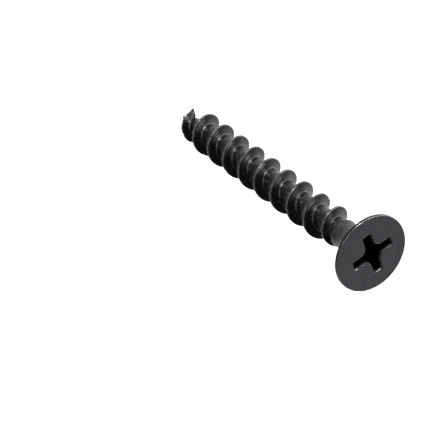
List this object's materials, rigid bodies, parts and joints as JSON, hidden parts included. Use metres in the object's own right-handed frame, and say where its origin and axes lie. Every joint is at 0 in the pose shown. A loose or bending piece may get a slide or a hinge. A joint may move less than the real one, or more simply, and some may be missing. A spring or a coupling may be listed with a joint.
{
  "type": "wood screw",
  "caption": "Black coarse-thread wood screw with a flat-topped bugle head, a cross drive recess, a short plain neck and a sharp pinched point.",
  "frame": {"origin": "centre of the flat head face, on the screw's axis", "axes": "+Z along the axis, out of the head face; the tip points to -Z; the four arms of the cross recess lie along X and Y"},
  "size_m": [0.0082, 0.0082, 0.035],
  "materials": {
    "phosphated_steel": "black phosphate, satin",
    "thread_steel": "black phosphate, oiled, rubbed bright along the crest"
  },
  "bodies": {
    "root": {"head": "phosphated_steel", "neck": "phosphated_steel", "core": "phosphated_steel", "thread": "thread_steel", "point": "phosphated_steel"}
  },
  "joints": []
}
